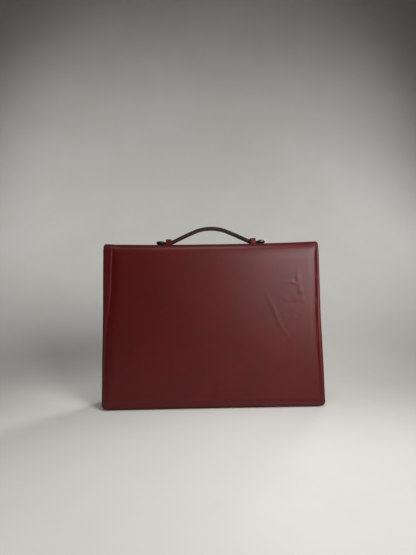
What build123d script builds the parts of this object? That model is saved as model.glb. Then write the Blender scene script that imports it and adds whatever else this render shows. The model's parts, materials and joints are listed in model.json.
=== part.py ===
"""A flap-over leather briefcase with a sliding strap handle, in millimetres.

+X runs along the width, -Y is the flap side, +Z is up.  The origin is at the
middle of the footprint, on the floor.
"""

import os
from math import asin, atan2, cos, degrees, hypot, sin, tan

from build123d import *

os.makedirs("parts", exist_ok=True)

# Overall size
WIDTH = 400.0
HEIGHT = 300.0            # floor to the top of the spine
DEPTH_TOP = 56.0          # over the leather, where the spine meets the panels
DEPTH_BOTTOM = 92.0       # over the leather, at the floor
FOLD_RADIUS = 14.0        # outer radius of the two top folds

# Wall make-up
LEATHER = 2.0
BOARD = 2.0
LINING = 1.0
PANEL = LEATHER + BOARD + LINING
THIN_LEATHER = 1.5        # the front panel that the flap covers
RIM = 6.0                 # rolled edge round each outer panel
FIELD_INSET = 12.0        # outer edge to the raised field
FIELD_RISE = 1.2
PADDING_INSET = 3.0       # field edge to the padding under it
PADDING = 1.2
GAP = 0.3                 # between pieces that move past each other
FLAP_CLEARANCE = 0.5      # flap lining to the front panel
FLAP_LIFT = 3.5           # floor to the flap's free edge

# Front panel, which swings about its lower hem
FRONT_INSET = 8.0         # narrower than the flap at each side
FRONT_DROP = 24.0         # hinge line of the flap to the front panel's top
FRONT_BINDING = 3.0
HEM_RADIUS = (THIN_LEATHER + BOARD + LINING) / 2
HEM_LIFT = 0.4

# Inside
GUSSET_INSET = 12.5       # outer edge of the case to the gusset's outer face
GUSSET = 1.5
GUSSET_TOP = 262.0
DIVIDER_TOP = 252.0
DIVIDER_SKIN = 0.8
DIVIDER_BOARD = 1.6
POCKET_WIDTH = 300.0
POCKET_TOP = 200.0
POCKET_BOTTOM = 90.0
POCKET_DEPTH = 11.0
POCKET_WALL = 1.2

# Press stud on the centre line
STUD_HEIGHT = 30.0        # floor to the stud's axis
STUD_RADIUS = 4.0
STUD_PLATE_RADIUS = 9.0
SOCKET_CUP_RADIUS = 6.5
SOCKET_BORE_RADIUS = 4.5
SOCKET_BORE_DEPTH = 2.4
WASHER_RADIUS = 7.0
WASHER = 0.8

# Handle
STRAP_WIDTH = 20.0
STRAP = 6.0               # thickness of the raised strap
STRAP_CORE = 1.6
END_STRAP = 4.4           # thickness where the strap slides in its loops
SLIDE_RISE = 3.3          # spine to the middle of the sliding ends
KNEE_X = 77.0             # where each ramp meets its sliding end
SHOULDER_X = 36.0         # where each ramp meets the crown
SHOULDER_RISE = 22.7     # spine to the shoulder
KNUCKLE_GAP = 0.3
LOOP_X = 80.0
LOOP_LENGTH = 10.4
LOOP_LEATHER = 1.9
LOOP_INNER_WIDTH = 22.0
LOOP_INNER_RISE = 8.5
STOPPER_START = 88.8
STOPPER_LENGTH = 15.2
STOPPER_WIDTH = 23.0
STOPPER_RISE = 7.2
STRAP_END_X = 102.0
LOOP_PLATE = (16.0, 28.0, 1.2)
TACK_RADIUS = 0.9
RIVET_RADIUS = 2.0

# Worked out from the sizes above
HINGE_Z = HEIGHT - FOLD_RADIUS
LEAN = atan2((DEPTH_BOTTOM - DEPTH_TOP) / 2, HINGE_Z)
SLOPE = HINGE_Z / cos(LEAN)                      # hinge line to the floor
FLAP_LENGTH = (HINGE_Z - FLAP_LIFT) / cos(LEAN)
BACK_LENGTH = SLOPE - PANEL * tan(LEAN) - 0.1
SPINE_WALL = PANEL
FRONT_OUTER = PANEL + FLAP_CLEARANCE             # depth of the front panel's face
FRONT_MIDDLE = FRONT_OUTER + HEM_RADIUS
FRONT_INNER = FRONT_OUTER + 2 * HEM_RADIUS
FRONT_HALF = WIDTH / 2 - FRONT_INSET
PIVOT_DOWN = SLOPE - FRONT_MIDDLE * tan(LEAN) - (HEM_RADIUS + HEM_LIFT) / cos(LEAN)
STUD_DOWN = (HINGE_Z - STUD_HEIGHT) / cos(LEAN)

FRONT = Plane(
    origin=(0, -DEPTH_TOP / 2, HINGE_Z),
    x_dir=(1, 0, 0),
    z_dir=(0, -cos(LEAN), sin(LEAN)),
)
BACK = Plane(
    origin=(0, DEPTH_TOP / 2, HINGE_Z),
    x_dir=(-1, 0, 0),
    z_dir=(0, cos(LEAN), sin(LEAN)),
)


def save(piece, name):
    """Label a finished piece and write it as its own STEP file."""
    piece.part.label = name
    export_step(piece.part, f"parts/{name}.step")


def wall_y(z, depth):
    """Distance from the middle plane to a leaning wall's layer at a height."""
    return DEPTH_TOP / 2 + (HINGE_Z - z) * tan(LEAN) - depth / cos(LEAN)


def plate(plane, half_width, top, bottom, depth, thickness):
    """A flat layer of a leaning panel, with its distances down the slope."""
    with BuildPart() as layer:
        with BuildSketch(plane.offset(-depth)):
            with Locations((0, -(top + bottom) / 2)):
                Rectangle(2 * half_width, bottom - top)
        extrude(amount=-thickness)
    return layer


def rolled_rim(plane, top, bottom):
    """The rounded edge round both sides and the free edge of a panel."""
    with BuildPart() as rim:
        with BuildSketch(plane):
            with Locations((0, -(top + bottom) / 2)):
                Rectangle(WIDTH, bottom - top)
            with Locations((0, -(top + bottom - RIM) / 2)):
                Rectangle(WIDTH - 2 * RIM, bottom - top - RIM, mode=Mode.SUBTRACT)
        extrude(amount=-PANEL)
        ends = rim.edges().filter_by(lambda edge: abs(edge.length - PANEL) < 0.01)
        corners = ends.filter_by(
            lambda edge: abs(edge.center().X) > WIDTH / 2 - 1 and edge.center().Z < HINGE_Z / 2
        )
        fillet(corners, radius=RIM + 2)
        outer = rim.faces().sort_by(lambda face: plane.to_local_coords(face.center()).Z)[-1]
        sides = outer.edges().filter_by(
            lambda edge: abs(edge.center().X) > WIDTH / 2 - 1
            or plane.to_local_coords(edge.center()).Y < 1 - bottom
        )
        fillet(sides, radius=1.8)
    return rim


def padded_cover(plane, top, bottom):
    """Outer leather of a panel, raised over its padding."""
    field_half = WIDTH / 2 - FIELD_INSET
    field_top = top + FIELD_INSET - RIM
    field_bottom = bottom + RIM - FIELD_INSET
    with BuildPart() as cover:
        with BuildSketch(plane):
            with Locations((0, -(top + bottom) / 2)):
                Rectangle(WIDTH - 2 * RIM, bottom - top)
        extrude(amount=-LEATHER)
        with BuildSketch(plane):
            with Locations((0, -(field_top + field_bottom) / 2)):
                RectangleRounded(2 * field_half, field_bottom - field_top, 6)
        extrude(amount=FIELD_RISE)
        crest = cover.faces().sort_by(lambda face: plane.to_local_coords(face.center()).Z)[-1]
        fillet(crest.edges(), radius=FIELD_RISE - 0.2)
        with BuildSketch(plane.offset(PADDING - LEATHER)):
            with Locations((0, -(field_top + field_bottom) / 2)):
                Rectangle(
                    2 * (field_half - PADDING_INSET),
                    field_bottom - field_top - 2 * PADDING_INSET,
                )
        extrude(amount=-PADDING, mode=Mode.SUBTRACT)
    with BuildPart() as padding:
        with BuildSketch(plane.offset(PADDING - LEATHER)):
            with Locations((0, -(field_top + field_bottom) / 2)):
                Rectangle(
                    2 * (field_half - PADDING_INSET),
                    field_bottom - field_top - 2 * PADDING_INSET,
                )
        extrude(amount=-PADDING)
    return cover, padding


def spine_outline(offset):
    """Section of the spine at an offset inside its outer surface."""
    half = DEPTH_TOP / 2
    flat = half - FOLD_RADIUS
    radius = FOLD_RADIUS - offset
    with BuildLine() as outline:
        CenterArc((flat, HINGE_Z), radius, 0, 90)
        Line((flat, HEIGHT - offset), (-flat, HEIGHT - offset))
        CenterArc((-flat, HINGE_Z), radius, 90, 90)
        Line((-flat - radius, HINGE_Z), (flat + radius, HINGE_Z))
    return outline


def spine_layer(outer, inner, start, end):
    """One arched layer of the spine, from one X to another."""
    with BuildPart() as layer:
        with BuildSketch(Plane.YZ.offset(start)):
            add(spine_outline(outer).line)
            make_face()
            with BuildSketch(Plane.YZ.offset(start), mode=Mode.SUBTRACT):
                add(spine_outline(inner).line)
                make_face()
        extrude(amount=end - start)
    return layer


def prism(points, start, end):
    """A piece whose section in the YZ plane runs from one X to another."""
    with BuildPart() as piece:
        with BuildSketch(Plane.YZ.offset(start)):
            with BuildLine():
                Polyline(*points, close=True)
            make_face()
        extrude(amount=end - start)
    return piece


# ---------------------------------------------------------------- spine
inner_half = WIDTH / 2 - RIM
loop_leg_y = LOOP_INNER_WIDTH / 2 + LOOP_LEATHER / 2
tack_places = [(x, y, HEIGHT) for x in (-LOOP_X, LOOP_X) for y in (-loop_leg_y, loop_leg_y)]

with BuildPart() as top_cover:
    add(spine_layer(0, LEATHER, -inner_half, inner_half).part)
    with Locations(*tack_places):
        Box(LOOP_LENGTH, LOOP_LEATHER, 2 * LEATHER, mode=Mode.SUBTRACT)
save(top_cover, "top_cover")

with BuildPart() as top_board:
    add(spine_layer(LEATHER, LEATHER + BOARD, -inner_half, inner_half).part)
    with Locations(*tack_places):
        Cylinder(TACK_RADIUS, 4 * PANEL, mode=Mode.SUBTRACT)
save(top_board, "top_board")

with BuildPart() as top_lining:
    add(spine_layer(LEATHER + BOARD, SPINE_WALL, -inner_half, inner_half).part)
    with Locations(*tack_places):
        Cylinder(TACK_RADIUS, 4 * PANEL, mode=Mode.SUBTRACT)
save(top_lining, "top_lining")

for side, name in ((-1, "left_spine_rim"), (1, "right_spine_rim")):
    with BuildPart() as spine_rim:
        add(spine_layer(0, SPINE_WALL, min(side * inner_half, side * WIDTH / 2),
                        max(side * inner_half, side * WIDTH / 2)).part)
        tip = spine_rim.faces().sort_by(Axis.X)[-1 if side > 0 else 0]
        crest = tip.edges().filter_by(
            lambda edge: max(abs(edge.center().Y), edge.center().Z - HINGE_Z)
            > (DEPTH_TOP / 2 - FOLD_RADIUS * 0.3 if abs(edge.center().Z - HINGE_Z) > 0.5 else 1000)
            or edge.center().Z > HEIGHT - 0.1
        )
        fillet(crest, radius=3)
    save(spine_rim, name)

# ---------------------------------------------------------------- flap
flap_rim = rolled_rim(FRONT, GAP, FLAP_LENGTH)
save(flap_rim, "flap_rim")

flap_cover, flap_padding = padded_cover(FRONT, GAP, FLAP_LENGTH - RIM)
save(flap_cover, "flap_cover")
save(flap_padding, "flap_padding")

with BuildPart() as flap_board:
    add(plate(FRONT, inner_half, GAP, FLAP_LENGTH - RIM, LEATHER, BOARD).part)
    with BuildSketch(FRONT.offset(-LEATHER)):
        with Locations((0, -STUD_DOWN)):
            Circle(SOCKET_CUP_RADIUS)
    extrude(amount=-BOARD, mode=Mode.SUBTRACT)
save(flap_board, "flap_board")

with BuildPart() as flap_lining:
    add(plate(FRONT, inner_half, GAP, FLAP_LENGTH - RIM, LEATHER + BOARD, LINING).part)
    with BuildSketch(FRONT.offset(-LEATHER - BOARD)):
        with Locations((0, -STUD_DOWN)):
            Circle(STUD_PLATE_RADIUS)
    extrude(amount=-LINING, mode=Mode.SUBTRACT)
save(flap_lining, "flap_lining")

with BuildPart() as closure_socket:
    with BuildSketch(FRONT.offset(-LEATHER)):
        with Locations((0, -STUD_DOWN)):
            Circle(SOCKET_CUP_RADIUS)
    extrude(amount=-BOARD)
    with BuildSketch(FRONT.offset(-LEATHER - BOARD)):
        with Locations((0, -STUD_DOWN)):
            Circle(STUD_PLATE_RADIUS)
    extrude(amount=-LINING)
    with BuildSketch(FRONT.offset(-PANEL)):
        with Locations((0, -STUD_DOWN)):
            Circle(SOCKET_BORE_RADIUS)
    extrude(amount=SOCKET_BORE_DEPTH, mode=Mode.SUBTRACT)
save(closure_socket, "closure_socket")

# ---------------------------------------------------------------- back
back_rim = rolled_rim(BACK, 0, BACK_LENGTH)
save(back_rim, "back_rim")

back_cover, back_padding = padded_cover(BACK, 0, BACK_LENGTH - RIM)
save(back_cover, "back_cover")
save(back_padding, "back_padding")

back_board = plate(BACK, inner_half, 0, BACK_LENGTH - RIM, LEATHER, BOARD)
save(back_board, "back_board")

back_lining = plate(BACK, inner_half, 0, BACK_LENGTH - RIM, LEATHER + BOARD, LINING)
save(back_lining, "back_lining")

with BuildPart() as document_pocket:
    pocket_high = (HINGE_Z - POCKET_TOP) / cos(LEAN)
    pocket_low = (HINGE_Z - POCKET_BOTTOM) / cos(LEAN)
    add(plate(BACK, POCKET_WIDTH / 2, pocket_high, pocket_low, PANEL, POCKET_DEPTH + POCKET_WALL).part)
    with BuildSketch(BACK.offset(-PANEL)):
        with Locations((0, -(pocket_high + pocket_low - POCKET_WALL) / 2)):
            Rectangle(POCKET_WIDTH - 2 * POCKET_WALL, pocket_low - pocket_high - POCKET_WALL)
    extrude(amount=-POCKET_DEPTH, mode=Mode.SUBTRACT)
save(document_pocket, "document_pocket")

# ---------------------------------------------------------------- bottom
pivot_y = -wall_y(HEM_RADIUS + HEM_LIFT, FRONT_MIDDLE)
pivot_z = HEM_RADIUS + HEM_LIFT
front_stop = pivot_y + HEM_RADIUS + GAP

bottom_cover = prism(
    [(front_stop, 0), (wall_y(0, PANEL), 0), (wall_y(LEATHER, PANEL), LEATHER), (front_stop, LEATHER)],
    -FRONT_HALF, FRONT_HALF,
)
save(bottom_cover, "bottom_cover")

BOTTOM_BOARD_TOP = LEATHER + BOARD + 0.5
bottom_board = prism(
    [(front_stop, LEATHER), (wall_y(LEATHER, PANEL), LEATHER),
     (wall_y(BOTTOM_BOARD_TOP, PANEL), BOTTOM_BOARD_TOP), (front_stop, BOTTOM_BOARD_TOP)],
    -FRONT_HALF, FRONT_HALF,
)
save(bottom_board, "bottom_board")

FLOOR = BOTTOM_BOARD_TOP + LINING
lining_front = pivot_y + HEM_RADIUS + 3 * GAP
bottom_lining = prism(
    [(lining_front, BOTTOM_BOARD_TOP), (wall_y(BOTTOM_BOARD_TOP, PANEL), BOTTOM_BOARD_TOP),
     (wall_y(FLOOR, PANEL), FLOOR), (lining_front, FLOOR)],
    -FRONT_HALF, FRONT_HALF,
)
save(bottom_lining, "bottom_lining")

# ---------------------------------------------------------------- front panel
front_top = FRONT_DROP / cos(LEAN)
front_inner_half = FRONT_HALF - FRONT_BINDING
front_inner_top = front_top + FRONT_BINDING

with BuildPart() as front_cover:
    add(plate(FRONT, front_inner_half, front_inner_top, PIVOT_DOWN, FRONT_OUTER, THIN_LEATHER).part)
    with BuildSketch(FRONT.offset(-FRONT_OUTER)):
        with Locations((0, -STUD_DOWN)):
            Circle(STUD_PLATE_RADIUS)
    extrude(amount=-THIN_LEATHER, mode=Mode.SUBTRACT)
save(front_cover, "front_cover")

with BuildPart() as front_board:
    add(plate(FRONT, front_inner_half, front_inner_top, PIVOT_DOWN,
              FRONT_OUTER + THIN_LEATHER, BOARD).part)
    with BuildSketch(FRONT.offset(-FRONT_OUTER - THIN_LEATHER)):
        with Locations((0, -STUD_DOWN)):
            Circle(STUD_RADIUS / 2)
    extrude(amount=-BOARD, mode=Mode.SUBTRACT)
    with BuildSketch(FRONT.offset(-FRONT_OUTER - THIN_LEATHER - BOARD + WASHER)):
        with Locations((0, -STUD_DOWN)):
            Circle(WASHER_RADIUS)
    extrude(amount=-WASHER, mode=Mode.SUBTRACT)
save(front_board, "front_board")

front_lining = plate(FRONT, front_inner_half, front_inner_top, PIVOT_DOWN,
                     FRONT_OUTER + THIN_LEATHER + BOARD, LINING)
save(front_lining, "front_lining")

with BuildPart() as front_binding:
    with BuildSketch(FRONT.offset(-FRONT_OUTER)):
        with Locations((0, -(front_top + PIVOT_DOWN) / 2)):
            Rectangle(2 * FRONT_HALF, PIVOT_DOWN - front_top)
        with Locations((0, -(front_inner_top + PIVOT_DOWN) / 2)):
            Rectangle(2 * front_inner_half, PIVOT_DOWN - front_inner_top, mode=Mode.SUBTRACT)
    extrude(amount=-2 * HEM_RADIUS)
save(front_binding, "front_binding")

with BuildPart() as front_hem:
    with BuildSketch(Plane.YZ.offset(-FRONT_HALF)):
        with Locations((pivot_y, pivot_z)):
            Circle(HEM_RADIUS)
            with Locations(Location((0, 0), -degrees(LEAN))):
                with Locations((0, HEM_RADIUS)):
                    Rectangle(4 * HEM_RADIUS, 2 * HEM_RADIUS, mode=Mode.SUBTRACT)
    extrude(amount=2 * FRONT_HALF)
save(front_hem, "front_hem")

with BuildPart() as closure_stud:
    with BuildSketch(FRONT.offset(-FRONT_OUTER)):
        with Locations((0, -STUD_DOWN)):
            Circle(STUD_PLATE_RADIUS)
    extrude(amount=-THIN_LEATHER)
    with BuildSketch(FRONT.offset(-FRONT_OUTER)):
        with Locations((0, -STUD_DOWN)):
            Circle(STUD_RADIUS)
    extrude(amount=FLAP_CLEARANCE + SOCKET_BORE_DEPTH - GAP)
    tip = closure_stud.faces().sort_by(Axis.Y)[0]
    fillet(tip.edges(), radius=1)
    with BuildSketch(FRONT.offset(-FRONT_OUTER - THIN_LEATHER)):
        with Locations((0, -STUD_DOWN)):
            Circle(STUD_RADIUS / 2)
    extrude(amount=WASHER - BOARD)
save(closure_stud, "closure_stud")

with BuildPart() as stud_washer:
    with BuildSketch(FRONT.offset(-FRONT_OUTER - THIN_LEATHER - BOARD + WASHER)):
        with Locations((0, -STUD_DOWN)):
            Circle(WASHER_RADIUS)
    extrude(amount=-WASHER)
save(stud_washer, "stud_washer")

# ---------------------------------------------------------------- gussets
rear_gusset_front = -(DIVIDER_SKIN + DIVIDER_BOARD / 2)
front_gusset_back = rear_gusset_front - GAP
gusset_outer = WIDTH / 2 - GUSSET_INSET
GUSSET_BOTTOM = FLOOR + 1.0

for side, name in ((-1, "left"), (1, "right")):
    start = min(side * gusset_outer, side * (gusset_outer - GUSSET))
    rear_gusset = prism(
        [(rear_gusset_front, FLOOR), (wall_y(FLOOR, PANEL), FLOOR),
         (wall_y(GUSSET_TOP, PANEL), GUSSET_TOP), (rear_gusset_front, GUSSET_TOP)],
        start, start + GUSSET,
    )
    save(rear_gusset, f"{name}_rear_gusset")
    front_gusset = prism(
        [(-wall_y(GUSSET_BOTTOM, FRONT_INNER), GUSSET_BOTTOM), (front_gusset_back, GUSSET_BOTTOM),
         (front_gusset_back, DIVIDER_TOP), (-wall_y(DIVIDER_TOP, FRONT_INNER), DIVIDER_TOP)],
        start, start + GUSSET,
    )
    save(front_gusset, f"{name}_front_gusset")

# ---------------------------------------------------------------- divider
divider_half = gusset_outer - GUSSET
divider_layers = (
    ("divider_front_skin", rear_gusset_front, DIVIDER_SKIN),
    ("divider_board", -DIVIDER_BOARD / 2, DIVIDER_BOARD),
    ("divider_rear_skin", DIVIDER_BOARD / 2, DIVIDER_SKIN),
)
for name, near, thick in divider_layers:
    layer = prism(
        [(near, FLOOR), (near + thick, FLOOR), (near + thick, DIVIDER_TOP), (near, DIVIDER_TOP)],
        -divider_half, divider_half,
    )
    save(layer, name)

# ---------------------------------------------------------------- handle loops
loop_top = HEIGHT + LOOP_INNER_RISE + LOOP_LEATHER
loop_foot = HEIGHT - LEATHER
plate_top = HEIGHT - SPINE_WALL

for side, name in ((-1, "left"), (1, "right")):
    with BuildPart() as loop:
        with BuildSketch(Plane.YZ.offset(side * LOOP_X - LOOP_LENGTH / 2)):
            with Locations((0, (loop_top + loop_foot) / 2)):
                Rectangle(LOOP_INNER_WIDTH + 2 * LOOP_LEATHER, loop_top - loop_foot)
            with Locations((0, (HEIGHT + LOOP_INNER_RISE + loop_foot) / 2)):
                Rectangle(LOOP_INNER_WIDTH, HEIGHT + LOOP_INNER_RISE - loop_foot, mode=Mode.SUBTRACT)
        extrude(amount=LOOP_LENGTH)
        shoulders = loop.edges().filter_by(Axis.X).filter_by(
            lambda edge: edge.center().Z > loop_top - 0.1
        )
        fillet(shoulders, radius=2.6)
        with Locations(*[(side * LOOP_X, y, loop_foot + 1.5) for y in (-loop_leg_y, loop_leg_y)]):
            Cylinder(TACK_RADIUS * 0.7, 3.0, mode=Mode.SUBTRACT)
    save(loop, f"{name}_handle_loop")

    with BuildPart() as loop_plate:
        with Locations((side * LOOP_X, 0, plate_top - LOOP_PLATE[2] / 2)):
            Box(*LOOP_PLATE)
        with Locations(*[(side * LOOP_X, y, plate_top) for y in (-loop_leg_y, loop_leg_y)]):
            Cylinder(TACK_RADIUS, 4 * LOOP_PLATE[2], mode=Mode.SUBTRACT)
    save(loop_plate, f"{name}_loop_plate")

with BuildPart() as loop_tacks:
    for x, y, _ in tack_places:
        with BuildSketch(Plane.XY.offset(plate_top - LOOP_PLATE[2] - 0.8)):
            with Locations((x, y)):
                Circle(TACK_RADIUS + 1.0)
        extrude(amount=0.8)
        with BuildSketch(Plane.XY.offset(plate_top - LOOP_PLATE[2])):
            with Locations((x, y)):
                Circle(TACK_RADIUS)
        extrude(amount=loop_foot - plate_top + LOOP_PLATE[2])
        with BuildSketch(Plane.XY.offset(loop_foot)):
            with Locations((x, y)):
                Circle(TACK_RADIUS * 0.7)
        extrude(amount=3.0)
save(loop_tacks, "loop_tacks")

# ---------------------------------------------------------------- handle
knee_z = HEIGHT + SLIDE_RISE
shoulder_z = HEIGHT + SHOULDER_RISE
ramp_length = hypot(KNEE_X - SHOULDER_X, shoulder_z - knee_z)
ramp_angle = asin((shoulder_z - knee_z) / ramp_length)
crown_radius = SHOULDER_X / sin(ramp_angle)
crown_centre_z = shoulder_z - crown_radius * cos(ramp_angle)
layers = (
    ("upper", STRAP_CORE / 2, STRAP / 2),
    ("core", -STRAP_CORE / 2, STRAP_CORE / 2),
    ("lower", -STRAP / 2, -STRAP_CORE / 2),
)
STRAP_PLANE = Plane(origin=(0, STRAP_WIDTH / 2, 0), x_dir=(1, 0, 0), z_dir=(0, -1, 0))

for name, low, high in layers:
    with BuildPart() as crown:
        with BuildSketch(STRAP_PLANE):
            with Locations((0, crown_centre_z)):
                Circle(crown_radius + high)
                Circle(crown_radius + low, mode=Mode.SUBTRACT)
            with BuildSketch(mode=Mode.INTERSECT):
                with BuildLine():
                    reach = crown_radius * 1.5
                    Polyline(
                        (0, crown_centre_z),
                        (-reach * sin(ramp_angle), crown_centre_z + reach * cos(ramp_angle)),
                        (reach * sin(ramp_angle), crown_centre_z + reach * cos(ramp_angle)),
                        close=True,
                    )
                make_face()
            with Locations((-SHOULDER_X, shoulder_z), (SHOULDER_X, shoulder_z)):
                Circle(STRAP / 2 + KNUCKLE_GAP, mode=Mode.SUBTRACT)
        extrude(amount=STRAP_WIDTH)
    save(crown, f"crown_{name}")

for side, side_name in ((-1, "left"), (1, "right")):
    middle = (side * (KNEE_X + SHOULDER_X) / 2, (knee_z + shoulder_z) / 2)
    tilt = -side * degrees(ramp_angle)
    for name, low, high in layers:
        with BuildPart() as ramp:
            with BuildSketch(STRAP_PLANE):
                with Locations(Location(middle, tilt)):
                    SlotCenterToCenter(ramp_length, STRAP)
                with Locations(Location(middle, tilt)):
                    with Locations((0, (low + high) / 2)):
                        Rectangle(ramp_length + 2 * STRAP, high - low, mode=Mode.INTERSECT)
            extrude(amount=STRAP_WIDTH)
        save(ramp, f"{side_name}_ramp_{name}")

    with BuildPart() as end:
        with BuildSketch(STRAP_PLANE):
            with Locations((side * (KNEE_X + STRAP_END_X) / 2, knee_z)):
                Rectangle(STRAP_END_X - KNEE_X, END_STRAP)
            with Locations((side * KNEE_X, knee_z)):
                Circle(STRAP / 2 + KNUCKLE_GAP, mode=Mode.SUBTRACT)
        extrude(amount=STRAP_WIDTH)
        with Locations((side * (STOPPER_START + STOPPER_LENGTH / 2), 0, knee_z + END_STRAP / 2 - 1)):
            Cylinder(RIVET_RADIUS / 2, 2, mode=Mode.SUBTRACT)
    save(end, f"{side_name}_strap_end")

    stopper_x = side * (STOPPER_START + STOPPER_LENGTH / 2)
    stopper_low = knee_z - END_STRAP / 2
    stopper_top = HEIGHT + STOPPER_RISE
    with BuildPart() as stopper:
        with Locations((stopper_x, 0, (stopper_low + stopper_top) / 2)):
            Box(STOPPER_LENGTH, STOPPER_WIDTH, stopper_top - stopper_low)
        fillet(stopper.edges().filter_by(Axis.Z), radius=3)
        fillet(stopper.faces().sort_by(Axis.Z)[-1].edges(), radius=1.5)
        pocket_length = STRAP_END_X - STOPPER_START + 5
        with Locations((side * (STRAP_END_X - pocket_length / 2), 0, knee_z)):
            Box(pocket_length, STRAP_WIDTH, END_STRAP, mode=Mode.SUBTRACT)
        with Locations((stopper_x, 0, stopper_top)):
            Cylinder(RIVET_RADIUS / 2, 12, mode=Mode.SUBTRACT)
    save(stopper, f"{side_name}_stopper")

    with BuildPart() as rivet:
        with BuildSketch(Plane.XY.offset(knee_z + END_STRAP / 2 - 2)):
            with Locations((stopper_x, 0)):
                Circle(RIVET_RADIUS / 2)
        extrude(amount=stopper_top - knee_z - END_STRAP / 2 + 2)
        with BuildSketch(Plane.XY.offset(stopper_top)):
            with Locations((stopper_x, 0)):
                Circle(RIVET_RADIUS)
        extrude(amount=0.7)
        fillet(rivet.faces().sort_by(Axis.Z)[-1].edges(), radius=0.5)
    save(rivet, f"{side_name}_stopper_rivet")
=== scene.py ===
"""Looks of a flap-over leather briefcase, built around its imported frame.

Lengths in this file are millimetres until a mesh is written, which is in
metres.  +X runs along the width, -Y is the flap side and +Z is up.
"""
import json
import logging
from dataclasses import dataclass
from enum import Enum

import bpy
import numpy as np
from mathutils import Matrix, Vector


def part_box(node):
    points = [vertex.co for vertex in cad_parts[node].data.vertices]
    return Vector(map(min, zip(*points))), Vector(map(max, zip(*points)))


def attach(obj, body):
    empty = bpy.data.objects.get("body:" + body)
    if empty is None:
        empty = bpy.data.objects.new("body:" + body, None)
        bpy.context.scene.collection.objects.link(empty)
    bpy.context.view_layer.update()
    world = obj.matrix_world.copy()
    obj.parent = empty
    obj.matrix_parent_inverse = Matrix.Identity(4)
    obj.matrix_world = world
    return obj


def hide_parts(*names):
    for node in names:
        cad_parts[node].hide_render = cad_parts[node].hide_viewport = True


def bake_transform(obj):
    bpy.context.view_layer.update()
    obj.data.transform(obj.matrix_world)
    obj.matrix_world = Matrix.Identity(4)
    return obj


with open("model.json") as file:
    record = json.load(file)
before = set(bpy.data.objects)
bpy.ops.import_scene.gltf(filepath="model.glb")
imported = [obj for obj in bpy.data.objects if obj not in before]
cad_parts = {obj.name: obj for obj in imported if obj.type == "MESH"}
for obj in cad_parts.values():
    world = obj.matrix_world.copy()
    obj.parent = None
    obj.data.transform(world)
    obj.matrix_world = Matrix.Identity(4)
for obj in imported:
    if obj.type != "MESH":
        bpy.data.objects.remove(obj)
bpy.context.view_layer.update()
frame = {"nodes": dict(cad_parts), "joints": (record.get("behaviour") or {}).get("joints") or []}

logging.basicConfig(level=logging.INFO, format="%(message)s")
log = logging.getLogger("briefcase")

MM = 0.001
JOINTS = {joint["name"]: joint for joint in frame["joints"]}


def node_box(node: str) -> np.ndarray:
    """Lowest and highest corner of a CAD node.

    Args:
        node: The node's name.

    Returns:
        A 2 by 3 array in millimetres.
    """
    return np.array([list(corner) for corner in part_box(node)]) / MM


def joint_place(name: str) -> np.ndarray:
    """Where a joint's axis lies, in millimetres."""
    return np.array(JOINTS[name]["pos_m"]) / MM


# ------------------------------------------------------------------ sizes
HALF_WIDTH = float(node_box("flap_rim")[1, 0])
SPINE_TOP = float(node_box("top_cover")[1, 2])
HINGE_Y, HINGE_Z = (float(value) for value in joint_place("flap_hinge")[1:])
FOLD_RADIUS = SPINE_TOP - HINGE_Z
HALF_SPINE = -HINGE_Y
BACK_FOOT_Y, BACK_FOOT_Z = float(node_box("back_rim")[1, 1]), float(node_box("back_rim")[0, 2])
LEAN = float(np.arctan2(BACK_FOOT_Y - HALF_SPINE, HINGE_Z - BACK_FOOT_Z))
FLAP_EDGE_Z = float(node_box("flap_rim")[0, 2])
FRONT_FACE = (0.0, -float(np.cos(LEAN)), float(np.sin(LEAN)))
PANEL = 5.0        # thickness of the flap, the spine and the back
LEATHER = 2.0      # thickness of the outer leather inside its rolled rim
RIM = 6.0          # width of that rim
FAR = 100.0        # a place well past the end of any sheet


# --------------------------------------------------------------- materials
def linear(hex_colour: str) -> tuple[float, float, float, float]:
    """Turn an sRGB hex colour into the linear colour that shaders take.

    Args:
        hex_colour: Six hex digits, such as "5A1416".

    Returns:
        Linear red, green, blue and an alpha of one.
    """
    srgb = np.array([int(hex_colour[i:i + 2], 16) for i in (0, 2, 4)]) / 255
    line = np.where(srgb <= 0.04045, srgb / 12.92, ((srgb + 0.055) / 1.055) ** 2.4)
    return (*(float(value) for value in line), 1.0)


def add_node(tree: bpy.types.NodeTree, kind: str, inputs: dict | None = None, **settings) -> bpy.types.Node:
    """Add one shader node with its settings, plain inputs and links.

    Args:
        tree: The node tree that takes the node.
        kind: The node's type name.
        inputs: Socket name or number to a value, or to the socket that feeds it.
        **settings: The node's own properties.

    Returns:
        The new node.
    """
    node = tree.nodes.new(kind)
    for name, value in settings.items():
        setattr(node, name, value)
    for name, value in (inputs or {}).items():
        if isinstance(value, bpy.types.NodeSocket):
            tree.links.new(value, node.inputs[name])
        else:
            node.inputs[name].default_value = value
    return node


SPECKLE_SHARE = 0.22   # how far the grain moves the colour from dark to light


class Coordinates(Enum):
    """What a pattern is laid out on."""

    OBJECT = "Object"
    FLAT = "UV"


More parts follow.
